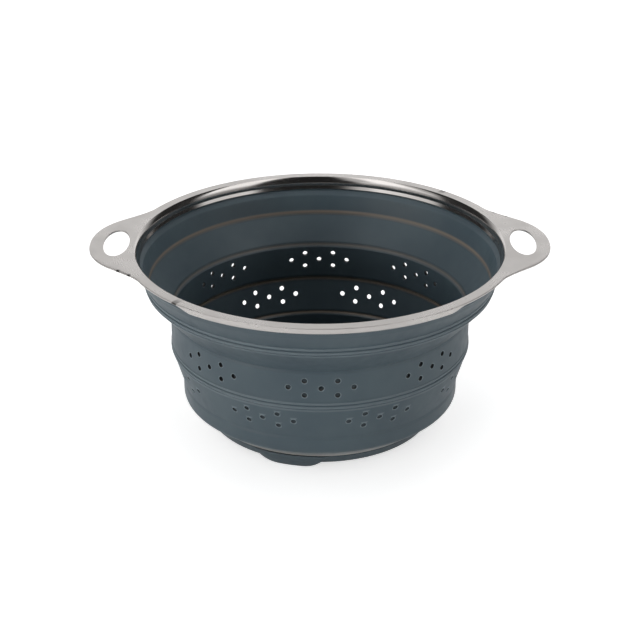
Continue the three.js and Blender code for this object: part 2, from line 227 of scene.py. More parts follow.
def bend(before, here, after, rounding):
    """The arc that rounds the corner at here, at most halfway to the corners beside it."""
    back, on = unit(before - here), unit(after - here)
    half_angle = math.acos(np.clip(back @ on, -1, 1)) / 2
    sweep = math.pi - 2 * half_angle
    if sweep < LEAST_BEND:
        return [here]
    shorter = min(np.linalg.norm(before - here), np.linalg.norm(after - here))
    reach = min(rounding / math.tan(half_angle), shorter / 2)
    centre = here + unit(back + on) * reach / math.cos(half_angle)
    first, last = here + back * reach - centre, here + on * reach - centre
    return [
        centre + (first * math.sin((1 - share) * sweep) + last * math.sin(share * sweep)) / math.sin(sweep)
        for share in np.linspace(0, 1, BEND_STEPS + 1)
    ]


def rounded(corners, closed=True):
    """Corners of (radius, height, rounding) as points, and the number of each corner's first point."""
    places = [np.array(corner[:2]) for corner in corners]
    points, firsts = [], []
    for index, corner in enumerate(corners):
        firsts.append(len(points))
        at_end = not closed and index in (0, len(corners) - 1)
        if corner[2] == 0 or at_end:
            points.append(places[index])
        else:
            after = places[(index + 1) % len(places)]
            points += bend(places[index - 1], places[index], after, corner[2])
    return np.array(points), firsts


class Shell:
    """The points and faces of one piece, gathered before its mesh is made."""

    def __init__(self):
        self.points = []
        self.faces = []
        self.slots = []
        self.planes = []

    def add(self, points):
        """Adds points and gives their numbers, in the same layout."""
        points = np.asarray(points, float)
        first = len(self.points)
        self.points += points.reshape(-1, 3).tolist()
        return first + np.arange(points.size // 3).reshape(points.shape[:-1])

    def strip(self, one, other, closed=True, slot=0, skip=()):
        """Faces between two rows of points."""
        count = len(one)
        for index in range(count if closed else count - 1):
            if index not in skip:
                after = (index + 1) % count
                self.faces.append((one[index], one[after], other[after], other[index]))
                self.slots.append(slot)

    def plane(self, *loops, slot=0):
        """A flat face between loops of points that strips already end on."""
        self.planes.append((loops, slot))

    def make(self, name, *materials):
        """The piece as an object, with smooth faces that break at its sharp edges."""
        mesh = bpy.data.meshes.new(name)
        mesh.from_pydata(self.points, [], self.faces)
        mesh.polygons.foreach_set("material_index", self.slots)
        shape = bmesh.new()
        shape.from_mesh(mesh)
        shape.verts.ensure_lookup_table()
        for loops, slot in self.planes:
            edges = [
                shape.edges.get((shape.verts[loop[index - 1]], shape.verts[loop[index]]))
                for loop in loops
                for index in range(len(loop))
            ]
            filled = bmesh.ops.triangle_fill(shape, use_beauty=True, edges=edges, normal=(0, 0, 1))
            for item in filled["geom"]:
                if isinstance(item, bmesh.types.BMFace):
                    item.material_index = slot
        bmesh.ops.remove_doubles(shape, verts=shape.verts, dist=MERGE)
        bmesh.ops.recalc_face_normals(shape, faces=shape.faces)
        shape.to_mesh(mesh)
        shape.free()
        mesh.shade_smooth()
        mesh.set_sharp_from_angle(angle=SHARP_ANGLE)
        for material in materials:
            mesh.materials.append(material)
        made = bpy.data.objects.new(name, mesh)
        bpy.context.scene.collection.objects.link(made)
        weighted = made.modifiers.new("weighted normals", "WEIGHTED_NORMAL")
        weighted.keep_sharp = True
        return made


def ring(radius, height, angles):
    """Points of a level circle."""
    return np.stack([radius * np.cos(angles), radius * np.sin(angles), np.full(len(angles), height)], axis=-1)


def even_angles(count):
    return 2 * math.pi * np.arange(count) / count


def turned(shell, section, angles, closed=True, slot=0, skip=None):
    """A section of (radius, height) points turned about the Z axis, as an array of rows."""
    rows = np.array([shell.add(ring(radius, height, angles)) for radius, height in section])
    for index in range(len(rows) if closed else len(rows) - 1):
        left_out = skip.get(index, ()) if skip else ()
        shell.strip(rows[index], rows[(index + 1) % len(rows)], slot=slot, skip=left_out)
    return rows


def turned_piece(name, corners, material):
    """A closed section turned all round, as a piece of its own."""
    shell = Shell()
    turned(shell, rounded(corners)[0], even_angles(COLUMNS))
    return shell.make(name, material)


# Drain holes in the wall


class Stretch:
    """The straight stretch of wall that a ring of hole clusters is cut through."""

    def __init__(self, radius, height, lean, wall, first_angle):
        self.radius = radius
        self.height = height
        self.lean = lean
        self.wall = wall
        self.first_angle = first_angle

    def at(self, up, depth):
        """Radius and height of a point this far up the wall from the clusters' middle, this deep in it."""
        radius = self.radius + up * math.sin(self.lean) - depth * math.cos(self.lean)
        height = self.height + up * math.cos(self.lean) + depth * math.sin(self.lean)
        return radius, height

    def corners(self, depth):
        """The stretch's rows, from the lowest up, as corners of a section."""
        return [(*self.at(row_level(row), depth), 0) for row in ROWS]

    def columns(self):
        """Angles of the columns, close together where the holes are."""
        steps = np.arange(PITCH_COLUMNS) - PITCH_COLUMNS // 2
        middle = self.radius - self.wall / 2
        marks = [0, PAIR_COLUMN, TIP_COLUMN, PITCH_COLUMNS // 2]
        arcs = [0, CLUSTER_PAIR, CLUSTER_TIP, middle * math.pi / CLUSTERS]
        turns = np.sign(steps) * np.interp(np.abs(steps), marks, arcs) / middle
        return (self.first_angle + even_angles(CLUSTERS)[:, None] + turns[None, :]).ravel()


def row_level(row):
    """How far a grid row lies from the cluster's middle row."""
    step = (CLUSTER_RISE - FIRST_ROW) / (PAIR_ROW - 1)
    return np.sign(row) * (FIRST_ROW + (abs(row) - 1) * step) if row else 0


def cluster(tip, pair, rise):
    """Places of a cluster's seven holes: one in the middle, a pair at each side and one at each tip."""
    return [(-tip, 0), (-pair, rise), (-pair, -rise), (0, 0), (pair, rise), (pair, -rise), (tip, 0)]


def ring_of_holes():
    """Grid column and row of every drain hole in a ring of clusters."""
    return [
        (number * PITCH_COLUMNS + PITCH_COLUMNS // 2 + column, row)
        for number in range(CLUSTERS)
        for column, row in cluster(TIP_COLUMN, PAIR_COLUMN, PAIR_ROW)
    ]


def cell_outline():
    """Steps from a hole's grid point to those round its cell, anticlockwise from the lower left corner."""
    side = range(-CELL, CELL)
    return (
        [(step, -CELL) for step in side]
        + [(CELL, step) for step in side]
        + [(-step, CELL) for step in side]
        + [(-CELL, -step) for step in side]
    )


def hole_profile(wall):
    """Rings of a drain hole as (radius, depth): flat beside it, round its lip, through it and out again."""
    turn = np.linspace(0, math.pi / 2, LIP_STEPS + 1)
    lip = [(HOLE_RADIUS + HOLE_LIP * (1 - math.sin(a)), HOLE_LIP * (1 - math.cos(a))) for a in turn]
    one_side = [(HOLE_RADIUS + 2 * HOLE_LIP, 0), *lip]
    return one_side + [(radius, wall - depth) for radius, depth in reversed(one_side)]


def drilled(name, stretch, foot_end, top_end, last, material):
    """A turned wall with clusters of drain holes, from the corners of its ends and the last ones outside."""
    inner, outer = stretch.corners(stretch.wall), stretch.corners(0)[::-1]
    section, firsts = rounded([*foot_end, *inner, *top_end, *outer, *last])
    first_in = firsts[len(foot_end)]
    first_out = firsts[len(foot_end) + len(inner) + len(top_end)]
    rows_in = {row: first_in + LAST_ROW + row for row in ROWS}
    rows_out = {row: first_out + LAST_ROW - row for row in ROWS}
    angles = stretch.columns()
    count = len(angles)
    skip = {}
    for column, row in ring_of_holes():
        cell_columns = [(column + step) % count for step in range(-CELL, CELL)]
        for step in range(-CELL, CELL):
            skip.setdefault(rows_in[row + step], set()).update(cell_columns)
            skip.setdefault(rows_out[row + step + 1], set()).update(cell_columns)
    shell = Shell()
    grid = turned(shell, section, angles, skip=skip)
    around = FIRST_CORNER + even_angles(HOLE_POINTS)
    for column, row in ring_of_holes():
        level = row_level(row)
        reach = stretch.at(level, 0)[0]
        rim_of = [[(column + dx) % count, row + dy] for dx, dy in cell_outline()]
        last = [grid[rows_out[y], x] for x, y in rim_of]
        for radius, depth in hole_profile(stretch.wall):
            turn = angles[column] + radius * np.cos(around) / reach
            far, height = stretch.at(level + radius * np.sin(around), depth)
            points = np.stack([far * np.cos(turn), far * np.sin(turn), height], axis=-1)
            numbers = shell.add(points)
            shell.strip(last, numbers)
            last = numbers
        shell.strip(last, [grid[rows_in[y], x] for x, y in rim_of])
    made = shell.make(name, material)
    mark_hole_highlights_and_shade(made, stretch)
    return made


# Steel rim


def cubic(start, pull_start, pull_end, end):
    """Points of a cubic curve, without its last one."""
    share = np.linspace(0, 1, HANDLE_STEPS // 2, endpoint=False)[:, None]
    rest = 1 - share
    return (
        rest**3 * start
        + 3 * rest**2 * share * pull_start
        + 3 * rest * share**2 * pull_end
        + share**3 * end
    )


def handle_half():
    """The right handle's outline in plan, from its back neck to just short of its tip."""
    half_span = HANDLE_SPAN / 2
    neck_angle = math.asin(half_span / FLANGE_RADIUS)
    reach = HANDLE_TIP - FLANGE_RADIUS
    neck = FLANGE_RADIUS * np.array((math.cos(neck_angle), math.sin(neck_angle)))
    shoulder = np.array((FLANGE_RADIUS + SHOULDER_REACH_SHARE * reach, SHOULDER_SPAN_SHARE * half_span))
    tip = np.array((HANDLE_TIP, 0))
    along_neck = half_span * np.array((math.sin(neck_angle), -math.cos(neck_angle)))
    along_shoulder = half_span * np.array((math.cos(SHOULDER_SLOPE), math.sin(SHOULDER_SLOPE)))
    along_tip = half_span * np.array((0, 1))
    to_shoulder = cubic(
        neck,
        neck + NECK_PULL_SHARE * along_neck,
        shoulder - SHOULDER_PULL_SHARE * along_shoulder,
        shoulder,
    )
    to_tip = cubic(
        shoulder,
        shoulder + FLANK_PULL_SHARE * along_shoulder,
        tip + TIP_PULL_SHARE * along_tip,
        tip,
    )
    return np.concatenate([to_shoulder, to_tip])


def rim_outline():
    """The flange's outline with its handles in plan, anticlockwise, with points an edge step apart."""
    back = handle_half()
    tip = np.array([(HANDLE_TIP, 0)])
    handle = np.concatenate([back * (1, -1), tip, back[::-1]])
    neck_angle = math.asin(HANDLE_SPAN / 2 / FLANGE_RADIUS)
    steps = round((math.pi - 2 * neck_angle) * FLANGE_RADIUS / EDGE_STEP)
    arc = np.linspace(neck_angle, math.pi - neck_angle, steps + 1)[1:-1]
    flange = FLANGE_RADIUS * np.stack([np.cos(arc), np.sin(arc)], axis=-1)
    half = np.concatenate([handle, flange])
    return np.concatenate([half, -half])


def inward(outline):
    """Unit vectors to the inside of an anticlockwise outline, square to it."""
    along = np.roll(outline, -1, axis=0) - np.roll(outline, 1, axis=0)
    along /= np.linalg.norm(along, axis=1)[:, None]
    return np.stack([-along[:, 1], along[:, 0]], axis=-1)


def dent(bearings, bearing, width):
    """How deep, from 0 to 1, an edge is dented at each bearing."""
    off = np.abs(bearings - bearing) * FLANGE_RADIUS
    return smooth((width / 2 - off) / DENT_EDGE + 1)


def edge_rows(outline):
    """Rows of points down the rim's edge, from its top face round the hem to its underside."""
    inside = inward(outline)
    hem = smooth((HEM_HALF_CHORD - np.abs(outline[:, 0])) / HEM_TAPER)
    depth = STEEL_PLATE + (HEM_DEPTH - STEEL_PLATE) * hem
    foot_round = EDGE_ROUND + (HEM_ROUND - EDGE_ROUND) * hem
    width = EDGE_ROUND + (HEM_WIDTH - EDGE_ROUND) * hem
    bearings = np.abs(np.arctan2(outline[:, 1], outline[:, 0]))
    dented_half = outline[:, 0] * outline[:, 1] > 0
    bearings = np.where(dented_half, np.minimum(bearings, math.pi - bearings), math.pi)
    pit = dent(bearings, HEM_DENT_BEARING, HEM_DENT_WIDTH) * HEM_DENT_DEPTH
    turn = np.linspace(0, math.pi / 2, BEND_STEPS + 1)
    rows = [(EDGE_ROUND + TAB_REACH, 0, False)]
    for a in turn:
        rows.append((EDGE_ROUND * (1 - math.sin(a)), -EDGE_ROUND * (1 - math.cos(a)), a > 0))
    rows.append((0, -HEM_DENT_HEIGHT, False))
    placed = []
    for inset, drop, in_pit in rows:
        pushed = inset + pit * in_pit
        height = np.maximum(RIM_TOP + drop, RIM_TOP - depth + foot_round)
        placed.append((outline + inside * pushed[:, None], height))
    for a in turn:
        pushed = np.full(len(outline), 1 - math.cos(a)) * foot_round
        height = RIM_TOP - depth + foot_round * (1 - math.sin(a))
        placed.append((outline + inside * pushed[:, None], height))
    under = outline + inside * width[:, None]
    placed.append((under, RIM_TOP - depth))
    placed.append((under, np.full(len(outline), RIM_TOP - STEEL_PLATE)))
    return [np.column_stack([plan, height]) for plan, height in placed]


def finger_hole_rows(side):
    """Rows of points down the edge of a finger hole."""
    turn = even_angles(FINGER_HOLE_POINTS)
    half_width, half_length = FINGER_HOLE_WIDTH / 2, FINGER_HOLE_LENGTH / 2
    middle = HANDLE_TIP - OUTER_LAND - half_width
    plan = np.stack([side * middle + half_width * np.cos(turn), half_length * np.sin(turn)], axis=-1)
    outside = -inward(plan)
    arc = np.linspace(0, math.pi / 2, BEND_STEPS + 1)
    over = [(EDGE_ROUND * (1 - math.sin(a)), EDGE_ROUND * (1 - math.cos(a))) for a in arc]
    profile = over + [(inset, STEEL_PLATE - drop) for inset, drop in reversed(over)]
    rows = []
    for inset, drop in profile:
        heights = np.full(len(turn), RIM_TOP - drop)
        rows.append(np.column_stack([plan + outside * inset, heights]))
    return rows


def collar_bend():
    """Corners down the collar's inside, from its flared top edge to where it stands upright."""
    turn = np.linspace(COLLAR_FLARE, 0, 2 * BEND_STEPS)
    radii = COLLAR_EDGE_RADIUS - COLLAR_BEND * (np.cos(turn) - math.cos(COLLAR_FLARE))
    heights = RIM_TOP - COLLAR_BEND * (math.sin(COLLAR_FLARE) - np.sin(turn))
    return [(radius, height, 0) for radius, height in zip(radii, heights)]


def steel_rim(brushed, polished):
    """One sheet: flat flange and handles, the edge rolled under front and back, and the collar."""
    shell = Shell()
    edge_points = edge_rows(rim_outline())
    edge = [shell.add(row) for row in edge_points]
    holes = [[shell.add(row) for row in finger_hole_rows(side)] for side in (1, -1)]
    for rows in [edge, *holes]:
        for above, below in zip(rows, rows[1:]):
            shell.strip(above, below)
    underside = RIM_TOP - STEEL_PLATE
    lip_top = COLLAR_FOOT + COLLAR_LIP_HEIGHT
    corners = [
        *collar_bend(),
        (COLLAR_FOOT_RADIUS + COLLAR_LIP / 2, lip_top, 2 * COLLAR_LIP_HEIGHT),
        (COLLAR_FOOT_RADIUS - COLLAR_LIP, COLLAR_FOOT + STEEL_SHEET / 2, STEEL_SHEET / 3),
        (COLLAR_FOOT_RADIUS, COLLAR_FOOT, STEEL_SHEET / 3),
        (COLLAR_FOOT_RADIUS + STEEL_SHEET, lip_top, COLLAR_LIP_HEIGHT),
        (COLLAR_EDGE_RADIUS + STEEL_SHEET / 2, underside, 0),
    ]
    section, _ = rounded(corners, closed=False)
    collar = turned(shell, section, even_angles(2 * COLUMNS), closed=False, slot=1)
    shell.plane(edge[0], holes[0][0], holes[1][0], collar[0])
    shell.plane(edge[-1], holes[0][-1], holes[1][-1], collar[-1])
    made = shell.make("steel_rim", brushed, polished)
    mark_dark_edges(made, edge_points[BEND_STEPS + 1])
    return made


# Silicone wall


def crests(radius, fold):
    """Corners down the outside of a band's lower end: a soft crest, a groove, a crest and the fold."""
    crest = fold + CREST_HEIGHT
    soft = crest + CREST_PITCH
    groove = (crest + soft) / 2
    return [
        (radius, soft + 2 * CREST_HALF, CREST_HALF),
        (radius + SOFT_CREST_PROUD, soft + CREST_HALF, CREST_HALF),
        (radius + SOFT_CREST_PROUD, soft - CREST_HALF, CREST_HALF),
        (radius - GROOVE_DEPTH, groove, CREST_HALF / 2),
        (radius + CREST_PROUD, crest + CREST_HALF, CREST_HALF),
        (radius + CREST_PROUD, crest - CREST_HALF, CREST_HALF),
        (radius - FOLD_INSET, fold, 0),
    ]


def top_band(material):
    """The flared band, from the bead that the steel is rolled round down to the upper fold."""
    bead_radius = FLANGE_RADIUS - HEM_WIDTH - SEAT_GAP
    bead_top = RIM_TOP - STEEL_PLATE - SEAT_GAP
    bead_foot = RIM_TOP - HEM_DEPTH - BEAD_LIP
    under_collar = COLLAR_FOOT - SEAT_GAP
    ledge = under_collar - STEEL_SHEET
    inside = TOP_RADIUS - BAND_WALL
    slope = (COLLAR_FOOT_RADIUS - TOP_RADIUS) / (ledge - BAND_WALL - UPPER_FOLD)
    steps = np.linspace(0, 2 * HINGE_LENGTH, 2 * BEND_STEPS)
    corners = [
        *[(inside + slope * step, UPPER_FOLD + step, 0) for step in steps],
        (COLLAR_FOOT_RADIUS - BAND_WALL, ledge - BAND_WALL, BAND_WALL),
        (COLLAR_FOOT_RADIUS, ledge + SEAT_GAP, STEEL_SHEET),
        (COLLAR_FOOT_RADIUS, under_collar, 0),
        (COLLAR_FOOT_RADIUS + STEEL_SHEET + SEAT_GAP, under_collar, 0),
        (COLLAR_EDGE_RADIUS + STEEL_SHEET / 2 + SEAT_GAP, bead_top, 0),
        (bead_radius, bead_top, SEAT_GAP),
        (bead_radius, bead_foot, BEAD_LIP),
        (bead_radius - BEAD_STEP, bead_foot - BEAD_STEP, BEAD_STEP),
        (COLLAR_FOOT_RADIUS + BAND_WALL, ledge, BAND_WALL),
        *crests(TOP_RADIUS, UPPER_FOLD),
    ]
    return turned_piece("silicone_top_band", corners, material)


class Web:
    """The places of a folding web between two bands."""

    def __init__(self, upper_radius, top, lower_radius, foot):
        self.outer_top = upper_radius - FOLD_INSET
        self.outer_foot = lower_radius - FOLD_INSET
        self.top = top
        self.foot = foot
        self.shoulder = top - SHOULDER_HEIGHT
        self.slope = (self.outer_top - self.outer_foot) / (self.shoulder - foot)
        self.across = WEB_WALL * math.hypot(1, self.slope)

    def outside(self, height):
        return self.outer_foot + self.slope * (height - self.foot)

    def foot_end(self):
        """Corners of the inside's foot."""
        height = self.foot + HINGE_LENGTH
        return [
            (self.outer_foot - HINGE_WALL, self.foot, 0),
            (self.outside(height) - self.across, height, HINGE_LENGTH),
        ]

    def top_end(self):
        """Corners from the inside over the top and down past the outer shoulder."""
        height = self.shoulder - HINGE_LENGTH / 2
        low = self.shoulder - SHOULDER_HEIGHT
        return [
            (self.outside(height) - self.across, height, HINGE_LENGTH),
            (self.outer_top - 2 * HINGE_WALL, self.top, 0),
            (self.outer_top, self.top, 0),
            (self.outer_top + SHOULDER_PROUD, self.shoulder + SHOULDER_HEIGHT / 3, SHOULDER_HEIGHT / 3),
            (self.outside(low), low, SHOULDER_HEIGHT),
        ]


def upper_web(material):
    web = Web(TOP_RADIUS, UPPER_FOLD, MIDDLE_RADIUS, UPPER_WEB_FOOT)
    heights = np.linspace(web.foot + 2 * HINGE_LENGTH, web.shoulder - 2 * HINGE_LENGTH, WEB_ROWS)
    inside = [(web.outside(height) - web.across, height, 0) for height in heights]
    outside = [(web.outside(height), height, 0) for height in reversed(heights)]
    near_foot = [
        (web.outside(web.foot + share * HINGE_LENGTH), web.foot + share * HINGE_LENGTH, 0)
        for share in WEB_END_SHARES
    ]
    corners = [*web.foot_end(), *inside, *web.top_end(), *outside, *near_foot]
    return turned_piece("silicone_upper_web", corners, material)


def band_ends(radius, foot, top):
    """Corners of a band's inner foot, and of its top end from the inside over to the outside."""
    inside = radius - BAND_WALL
    foot_end = [(radius - FOLD_INSET - HINGE_WALL, foot, 0), (inside, foot + HINGE_RELIEF, HINGE_LENGTH)]
    top_end = [
        (inside, top - HINGE_LENGTH, HINGE_LENGTH / 2),
        (radius - FOLD_INSET - HINGE_WALL, top, 0),
        (radius - FOLD_INSET, top, 0),
        (radius, top - HINGE_LENGTH, HINGE_LENGTH),
    ]
    return foot_end, top_end


def middle_band(material):
    height = UPPER_WEB_FOOT - UPPER_HOLES_DROP
    stretch = Stretch(MIDDLE_RADIUS, height, 0, BAND_WALL, math.pi / 2)
    foot_end, top_end = band_ends(MIDDLE_RADIUS, LOWER_FOLD, UPPER_WEB_FOOT)
    last = crests(MIDDLE_RADIUS, LOWER_FOLD)
    return drilled("silicone_middle_band", stretch, foot_end, top_end, last, material)


def lower_web(material):
    web = Web(MIDDLE_RADIUS, LOWER_FOLD, BASE_RADIUS, LOWER_WEB_FOOT)
    lean = math.atan(web.slope)
    height = LOWER_FOLD - LOWER_HOLES_DROP - WEB_WALL / 2 * math.sin(lean)
    first_angle = math.pi / 2 + math.pi / CLUSTERS
    stretch = Stretch(web.outside(height), height, lean, WEB_WALL, first_angle)
    lowest_row = stretch.at(row_level(-LAST_ROW), 0)[1]
    heights = np.linspace(lowest_row, web.foot, LAST_ROW)[1:]
    near_foot = [(web.outside(height), height, 0) for height in heights]
    return drilled("silicone_lower_web", stretch, web.foot_end(), web.top_end(), near_foot, material)


def base_band(material):
    """The stiff lower band, which rounds under and slopes in to the base plate."""
    corner = BASE_BAND_FOOT + BASE_SLOPE_HEIGHT
    inside = BASE_RADIUS - BAND_WALL
    _, top_end = band_ends(BASE_RADIUS, BASE_BAND_FOOT, LOWER_WEB_FOOT)
    corners = [
        (PLATE_RADIUS - PLATE_WALL, BASE_BAND_FOOT, 0),
        (inside, corner, BASE_CORNER),
        *top_end,
        (BASE_RADIUS, corner, BASE_CORNER),
        (PLATE_RADIUS, BASE_BAND_FOOT, 0),
    ]
    return turned_piece("silicone_base_band", corners, material)


# Base


def base_plate(material):
    """A shallow dish with clusters of drain holes and a stiffening ring below."""
    floor_top = PLATE_BOTTOM + PLATE_FLOOR
    foot_radius = PLATE_RADIUS - PLATE_DRAFT
    section, _ = rounded([
        (DRILLED_RADIUS, floor_top, 0),
        (foot_radius - PLATE_WALL, floor_top, PLATE_WALL),
        (PLATE_RADIUS - PLATE_WALL, PLATE_TOP, EDGE_ROUND),
        (PLATE_RADIUS, PLATE_TOP, EDGE_ROUND),
        (foot_radius, PLATE_BOTTOM, PLATE_WALL / 2),
        (RING_RADIUS + RING_HALF + RING_DEPTH, PLATE_BOTTOM, RING_DEPTH),
        (RING_RADIUS + RING_HALF, PLATE_BOTTOM - RING_DEPTH, RING_DEPTH),
        (RING_RADIUS - RING_HALF, PLATE_BOTTOM - RING_DEPTH, RING_DEPTH),
        (RING_RADIUS - RING_HALF - RING_DEPTH, PLATE_BOTTOM, RING_DEPTH),
        (DRILLED_RADIUS, PLATE_BOTTOM, 0),
    ], closed=False)
    shell = Shell()
    rows = turned(shell, section, even_angles(COLUMNS), closed=False)
    tops, feet = [rows[0]], [rows[-1]]
    around = even_angles(HOLE_POINTS)
    for number in range(FLOOR_CLUSTERS + 1):
        middle = FLOOR_CLUSTER_RADIUS if number < FLOOR_CLUSTERS else 0
        angle = 2 * math.pi * number / FLOOR_CLUSTERS
        for along, out in cluster(CLUSTER_TIP, CLUSTER_PAIR, CLUSTER_RISE):
            place = complex(middle + out, along) * complex(math.cos(angle), math.sin(angle))
            rings = [
                shell.add(ring(radius, floor_top - depth, around) + (place.real, place.imag, 0))
                for radius, depth in hole_profile(PLATE_FLOOR)[1:-1]
            ]
            for above, below in zip(rings, rings[1:]):
                shell.strip(above, below)
            tops.append(rings[0])
            feet.append(rings[-1])
    shell.plane(*tops)
    shell.plane(*feet)
    return shell.make("drilled_base", material)


def eased(before, corner, after, count=BEND_STEPS + 1):
    """Points from before to after, pulled towards the corner between them."""
    share = np.linspace(0, 1, count)[:, None]
    before, corner, after = np.array(before), np.array(corner), np.array(after)
    return (1 - share) ** 2 * before + 2 * share * (1 - share) * corner + share**2 * after


def foot_section(across, sole, top):
    """A foot's section at one place round the base, as (radius, height) points."""
    half = FOOT_LENGTH / 2
    proud = SEAT_GAP + (FOOT_PROUD - SEAT_GAP) * (1 - (across / half) ** 4)
    outer = PLATE_RADIUS + proud
    clear_foot = PLATE_BOTTOM - SEAT_GAP
    clear_radius = PLATE_RADIUS - PLATE_DRAFT + SEAT_GAP
    clear_slope = PLATE_DRAFT / (PLATE_TOP - clear_foot)

    def face(height):
        return outer - FOOT_DRAFT * max((top - height) / top, 0) ** FOOT_BOW

    def under_slope(radius):
        return PLATE_TOP + max(radius - PLATE_RADIUS - SEAT_GAP, 0) * BASE_SLOPE

    soft = min(FOOT_ROUND, (top - sole) / 4)
    hook = max(sole, clear_foot)
    hook_radius = clear_radius + clear_slope * (min(hook, PLATE_TOP) - clear_foot)
    inner = min(PLATE_RADIUS + FOOT_PROUD - FOOT_DEPTH, hook_radius)
    inner = inner if sole < clear_foot else hook_radius
    heel = min(soft, max(clear_foot - sole, 0) / 2)
    edge = max(under_slope(outer), sole)
    climb = np.linspace(sole + soft, max(edge - soft, sole + soft), WEB_ROWS // 2)[1:-1]
    back_edge = (outer - soft, max(under_slope(outer - soft), sole))
    parts = [
        eased((inner, sole + heel), (inner, sole), (inner + heel, sole)),
        eased((face(sole) - soft, sole), (face(sole), sole), (face(sole + soft), sole + soft)),
        [(face(height), height) for height in climb],
        eased((outer, max(edge - soft, sole)), (outer, edge), back_edge),
        [(PLATE_RADIUS + SEAT_GAP, max(PLATE_TOP, sole)), (hook_radius, hook), (inner, hook)],
    ]
    return np.concatenate([np.array(part) for part in parts])


def foot(index, material):
    """A soft lobe with a flat sole, hooked under and round the edge of the base plate."""
    top = PLATE_TOP + (FOOT_PROUD - SEAT_GAP) * BASE_SLOPE
    half, flat = FOOT_LENGTH / 2, FOOT_FLAT / 2
    pull = flat + FOOT_PULL_SHARE * (half - flat)
    lobe = eased((half, top), (pull, 0), (flat, 0), FOOT_COLUMNS)
    turn = FIRST_FOOT_ANGLE + 2 * math.pi * index / FEET
    shell = Shell()
    rows = []
    for across in np.linspace(-half, half, FOOT_COLUMNS):
        sole = np.interp(-abs(across), -lobe[:, 0], lobe[:, 1])
        angle = turn + math.asin(across / (PLATE_RADIUS + FOOT_PROUD))
        section = foot_section(across, sole, top)
        rows.append(shell.add([(r * math.cos(angle), r * math.sin(angle), z) for r, z in section]))
    for one, other in zip(rows, rows[1:]):
        shell.strip(one, other)
    return shell.make(f"rubber_foot_{index + 1}", material)


# Materials


def linear(*levels):
    """A colour given in the 0 to 255 levels of a picture, as light, by the sRGB curve."""
    shares = [level / 255 for level in levels]
    return (*[s / 12.92 if s <= 0.04045 else ((s + 0.055) / 1.055) ** 2.4 for s in shares], 1)


def node(tree, kind, inputs=None, **settings):
    made = tree.nodes.new("ShaderNode" + kind)
    for name, value in settings.items():
        setattr(made, name, value)
    for name, value in (inputs or {}).items():
        if isinstance(value, bpy.types.NodeSocket):
            tree.links.new(value, made.inputs[name])
        else:
            made.inputs[name].default_value = value
    return made


def calc(tree, operation, *values):
    return node(tree, "Math", dict(enumerate(values)), operation=operation).outputs[0]


def blend_colours(tree, share, one, other):
    made = node(tree, "Mix", data_type="RGBA")
    sockets = {socket.identifier: socket for socket in made.inputs}
    for name, value in {"Factor_Float": share, "A_Color": one, "B_Color": other}.items():
        if isinstance(value, bpy.types.NodeSocket):
            tree.links.new(value, sockets[name])
        else:
            sockets[name].default_value = value
    return next(socket for socket in made.outputs if socket.identifier == "Result_Color")


def noise(tree, place, scale, detail):
    return node(tree, "TexNoise", {"Vector": place, "Scale": scale, "Detail": detail}).outputs["Fac"]


def spread(tree, value, low, high, to_low, to_high):
    """A value's range from low to high, moved to another range."""
    inputs = {"Value": value, "From Min": low, "From Max": high, "To Min": to_low, "To Max": to_high}
    return node(tree, "MapRange", inputs).outputs[0]


def clouds(tree, place, pattern):
    """Soft patches from 0 to 1."""
    return spread(tree, noise(tree, place, *pattern), *CLOUD_RANGE, 0.0, 1.0)


def bump(tree, height, strength, distance, normal=None):
    inputs = {"Height": height, "Strength": strength, "Distance": distance}
    if normal:
        inputs["Normal"] = normal
    return node(tree, "Bump", inputs).outputs[0]


def new_material(name, **constants):
    made = bpy.data.materials.new(name)
    made.use_nodes = True
    shader = made.node_tree.nodes["Principled BSDF"]
    for socket, value in constants.items():
        shader.inputs[socket.replace("_", " ")].default_value = value
    return made, made.node_tree, shader


# Colours
SILICONE = linear(70, 84, 92)
SILICONE_PALE = linear(77, 91, 98)
# painted glow: light shining through a thin hinge, painted as a warm colour
HINGE_GLOW_COLOUR = linear(136, 122, 108)
STEEL = linear(210, 206, 203)
STEEL_DULL = linear(201, 197, 194)
BASE_COLOUR = linear(68, 80, 86)
BASE_PALE = linear(75, 87, 93)
# painted highlight on a drain hole's outer lip and on the crests beside the folds
LIP_AND_CREST_HIGHLIGHT = linear(118, 130, 136)
# painted shade inside a drain hole's bore
BORE_PAINTED_SHADE = linear(16, 19, 21)
# painted reflection of the bright floor on the base band's slope
SLOPE_REFLECTION = linear(208, 204, 199)
# painted shade at the rim's edge marks and in the dent
STEEL_MARK_SHADE = linear(34, 29, 24)
FLOOR_COLOUR = (0.84, 0.84, 0.84, 1)
WHITE = (1, 1, 1, 1)

# Patterns as (marks a metre, how finely each is split), and bumps as (strength, depth)
SILICONE_CLOUDS = (28.0, 3.0)
SILICONE_WEAR = (160.0, 4.0)
SILICONE_GRAIN = (2600.0, 2.0)
SILICONE_GRAIN_BUMP = (0.35, 0.02 * MM)
SILICONE_RIPPLE = (130.0, 1.0)
SILICONE_RIPPLE_BUMP = (0.25, 0.12 * MM)
BASE_CLOUDS = (35.0, 3.0)
BASE_WEAR = (200.0, 2.0)
BASE_GRAIN = (1500.0, 3.0)
BASE_GRAIN_BUMP = (0.5, 0.04 * MM)
STEEL_CLOUDS = (45.0, 4.0)
STEEL_WAVES = (40.0, 1.0)
STEEL_WAVES_BUMP = (0.15, 0.06 * MM)
BRUSHING = (1.0, 3.0)
BRUSHING_DEPTH = 0.01 * MM
BRUSHING_ROUND = 6.0
BRUSHING_OUT = 2200.0

# The stretch of a pattern's levels that is used
CLOUD_RANGE = (0.35, 0.65)
WEAR_RANGE = (0.3, 0.7)
BRUSHING_RANGE = (0.2, 0.8)

